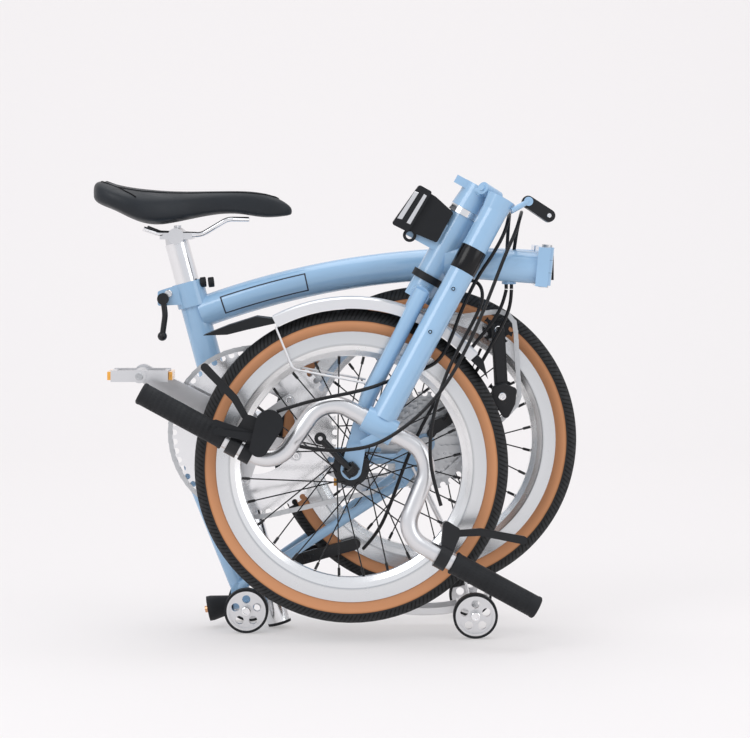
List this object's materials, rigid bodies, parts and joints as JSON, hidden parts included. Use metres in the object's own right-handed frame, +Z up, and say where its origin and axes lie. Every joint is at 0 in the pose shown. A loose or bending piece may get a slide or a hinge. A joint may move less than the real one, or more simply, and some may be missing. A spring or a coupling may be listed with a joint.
{
  "type": "folding bicycle",
  "caption": "Folding bicycle with small wheels, stowed on luggage rollers, with hinged main frame, handlepost and rear frame.",
  "frame": {"origin": "on the ground, under the middle of the stowed package", "axes": "+X to the riding front of the main frame, +Z up, the drive side is -Y"},
  "size_m": [0.6639, 0.3628, 0.6215],
  "materials": {
    "frame_blue": "gloss pastel blue paint",
    "polished_silver": "polished",
    "satin_silver": "satin anodised",
    "steel": "brushed",
    "black_metal": "satin black",
    "black_plastic": "moulded black plastic",
    "rubber": "ribbed rubber grip",
    "tyre": "black tread with tan sidewall",
    "saddle": "perforated synthetic leather",
    "cable": "black outer cable"
  },
  "bodies": {
    "main_frame": {"main_frame": "frame_blue", "hinge_pins": "steel", "chain": "steel"},
    "seat_lever": {"seat_clamp_lever": "black_metal"},
    "hinge_clamp": {"main_hinge_clamp": "black_metal"},
    "seatpost": {"seatpost": "polished_silver", "seatpost_foot": "rubber", "saddle": "saddle", "saddle_rails": "steel", "saddle_clamp": "satin_silver"},
    "front_frame": {"front_frame": "frame_blue", "luggage_block": "black_plastic", "headset_cups": "polished_silver", "frame_cables": "cable"},
    "fork": {"fork": "frame_blue", "stem_base": "frame_blue", "front_axle": "black_metal", "front_mudguard": "polished_silver", "mud_flaps": "black_plastic", "front_brake": "black_metal"},
    "front_wheel": {"front_tyre": "tyre", "front_rim": "polished_silver", "front_spokes": "black_metal", "front_hub": "black_metal"},
    "wheel_lever": {"front_wheel_lever": "black_metal"},
    "handlepost": {"handlepost": "frame_blue", "handlebar": "polished_silver", "left_grip": "rubber", "right_grip": "rubber", "left_brake_body": "black_metal", "right_brake_body": "black_metal", "gear_shifter": "black_plastic", "bar_cables": "cable"},
    "post_lever": {"handlepost_clamp_lever": "black_metal"},
    "left_brake_lever": {"left_brake_lever": "black_metal"},
    "right_brake_lever": {"right_brake_lever": "black_metal"},
    "shift_up_paddle": {"shift_up_paddle": "black_plastic"},
    "shift_down_paddle": {"shift_down_paddle": "black_plastic"},
    "rear_frame": {"rear_frame": "frame_blue", "rear_axles": "steel", "suspension_block": "rubber", "rear_mudguard": "polished_silver", "rear_brake": "black_metal", "derailleur": "black_metal"},
    "rear_wheel": {"rear_tyre": "tyre", "rear_rim": "polished_silver", "rear_spokes": "black_metal", "rear_hub": "black_metal"},
    "cassette": {"cassette": "steel"},
    "derailleur_cage": {"derailleur_cage": "black_metal"},
    "guide_pulley": {"guide_pulley": "black_plastic"},
    "tension_pulley": {"tension_pulley": "black_plastic"},
    "crankset": {"crankset": "satin_silver", "chainring": "satin_silver"},
    "right_pedal": {"right_pedal": "satin_silver"},
    "left_pedal": {"left_pedal": "satin_silver"},
    "rear_right_roller": {"rear_right_roller": "satin_silver"},
    "rear_left_roller": {"rear_left_roller": "satin_silver"},
    "front_right_roller": {"front_right_roller": "satin_silver"},
    "front_left_roller": {"front_left_roller": "satin_silver"}
  },
  "joints": [
    {"name": "seat_clamp_lever", "type": "hinge", "parent": "main_frame", "child": "seat_lever", "pos_m": [-0.2355, 0.0396, 0.452], "axis": [0, 1, 0], "range_deg": [0, 80]},
    {"name": "seatpost_slide", "type": "slide", "parent": "main_frame", "child": "seatpost", "axis": [-0.2613, 0, 0.9652], "range_m": [0, 0.36]},
    {"name": "hinge_clamp_turn", "type": "hinge", "parent": "main_frame", "child": "hinge_clamp", "pos_m": [0.2851, 0.0731, 0.498], "axis": [1, 0, 0], "range_deg": [0, 180]},
    {"name": "main_hinge", "type": "hinge", "parent": "main_frame", "child": "front_frame", "pos_m": [0.2851, -0.0179, 0.498], "axis": [0.0993, 0, 0.9951], "range_deg": [0, 180], "deforming": ["frame_cables", "mud_flaps"]},
    {"name": "steering", "type": "hinge", "parent": "front_frame", "child": "fork", "pos_m": [0.154, -0.0754, 0.5342], "axis": [0.4848, 0, 0.8746], "range_deg": [-180, 0]},
    {"name": "front_wheel_spin", "type": "hinge", "parent": "fork", "child": "front_wheel", "pos_m": [0.023, -0.0754, 0.2329], "axis": [0, 1, 0], "continuous": true},
    {"name": "wheel_lever_turn", "type": "hinge", "parent": "fork", "child": "wheel_lever", "pos_m": [0.023, -0.1284, 0.2329], "axis": [0.7193, 0, 0.6947], "range_deg": [0, 100]},
    {"name": "handlepost_hinge", "type": "hinge", "parent": "fork", "child": "handlepost", "pos_m": [0.20736, -0.09141, 0.59749], "axis": [-0.6045, -0.707, 0.3672], "range_deg": [0, 176.08], "deforming": ["bar_cables"]},
    {"name": "post_lever_turn", "type": "hinge", "parent": "handlepost", "child": "post_lever", "pos_m": [0.25645, -0.10632, 0.58517], "axis": [0.0427, -0.9961, 0.0771], "range_deg": [0, 50]},
    {"name": "left_brake_lever", "type": "hinge", "parent": "handlepost", "child": "left_brake_lever", "pos_m": [-0.11058, -0.14422, 0.29886], "axis": [0.0427, -0.9961, 0.0771], "range_deg": [0, 18], "stiffness_Nm_per_rad": 1},
    {"name": "right_brake_lever", "type": "hinge", "parent": "handlepost", "child": "right_brake_lever", "pos_m": [0.15835, -0.14398, 0.15287], "axis": [-0.0427, 0.9961, -0.0771], "range_deg": [0, 18], "stiffness_Nm_per_rad": 1},
    {"name": "shift_up_paddle", "type": "hinge", "parent": "handlepost", "child": "shift_up_paddle", "pos_m": [-0.09877, -0.14544, 0.27658], "axis": [0.0427, -0.9961, 0.0771], "range_deg": [0, 14], "stiffness_Nm_per_rad": 0.4},
    {"name": "shift_down_paddle", "type": "hinge", "parent": "handlepost", "child": "shift_down_paddle", "pos_m": [-0.09877, -0.14544, 0.27658], "axis": [0.0427, -0.9961, 0.0771], "range_deg": [0, 14], "stiffness_Nm_per_rad": 0.4},
    {"name": "rear_pivot", "type": "hinge", "parent": "main_frame", "child": "rear_frame", "pos_m": [-0.1973, 0.0396, 0.242], "axis": [0, 1, 0], "range_deg": [0, 5], "deforming": ["chain"]},
    {"name": "rear_wheel_spin", "type": "hinge", "parent": "rear_frame", "child": "rear_wheel", "pos_m": [0.1224, 0.0396, 0.2586], "axis": [0, 1, 0], "continuous": true},
    {"name": "cassette_spin", "type": "hinge", "parent": "rear_frame", "child": "cassette", "pos_m": [0.1224, 0.0396, 0.2586], "axis": [0, 1, 0], "continuous": true},
    {"name": "derailleur_cage_swing", "type": "hinge", "parent": "rear_frame", "child": "derailleur_cage", "pos_m": [0.2265, 0.0396, 0.322], "axis": [0, 1, 0], "range_deg": [0, 30], "stiffness_Nm_per_rad": 1.5},
    {"name": "guide_pulley_spin", "type": "hinge", "parent": "derailleur_cage", "child": "guide_pulley", "pos_m": [0.2215, 0.0396, 0.412], "axis": [0, 1, 0], "continuous": true},
    {"name": "tension_pulley_spin", "type": "hinge", "parent": "derailleur_cage", "child": "tension_pulley", "pos_m": [0.2265, 0.0396, 0.322], "axis": [0, 1, 0], "continuous": true},
    {"name": "crank_spin", "type": "hinge", "parent": "main_frame", "child": "crankset", "pos_m": [-0.1091, 0.0396, 0.2717], "axis": [0, 1, 0], "range_deg": [-70, 25]},
    {"name": "right_pedal_spin", "type": "hinge", "parent": "crankset", "child": "right_pedal", "pos_m": [-0.25778, 0.0396, 0.35412], "axis": [0, 1, 0], "continuous": true},
    {"name": "left_pedal_spin", "type": "hinge", "parent": "crankset", "child": "left_pedal", "pos_m": [0.03959, 0.0396, 0.18928], "axis": [0, 1, 0], "continuous": true},
    {"name": "rear_right_roller_spin", "type": "hinge", "parent": "rear_frame", "child": "rear_right_roller", "pos_m": [-0.1202, -0.0104, 0.03], "axis": [0, 1, 0], "continuous": true},
    {"name": "rear_left_roller_spin", "type": "hinge", "parent": "rear_frame", "child": "rear_left_roller", "pos_m": [-0.1202, 0.0896, 0.03], "axis": [0, 1, 0], "continuous": true},
    {"name": "front_right_roller_spin", "type": "hinge", "parent": "rear_frame", "child": "front_right_roller", "pos_m": [0.1892, -0.0544, 0.03], "axis": [0, 1, 0], "continuous": true},
    {"name": "front_left_roller_spin", "type": "hinge", "parent": "rear_frame", "child": "front_left_roller", "pos_m": [0.1892, 0.1336, 0.03], "axis": [0, 1, 0], "continuous": true}
  ],
  "couplings": [
    {"joint": "steering", "follows": "main_hinge", "ratio": -1},
    {"joint": "handlepost_hinge", "follows": "main_hinge", "ratio": 0.97815},
    {"joint": "cassette_spin", "follows": "crank_spin", "ratio": 2.4545},
    {"joint": "guide_pulley_spin", "follows": "crank_spin", "ratio": 6},
    {"joint": "tension_pulley_spin", "follows": "crank_spin", "ratio": 6}
  ]
}
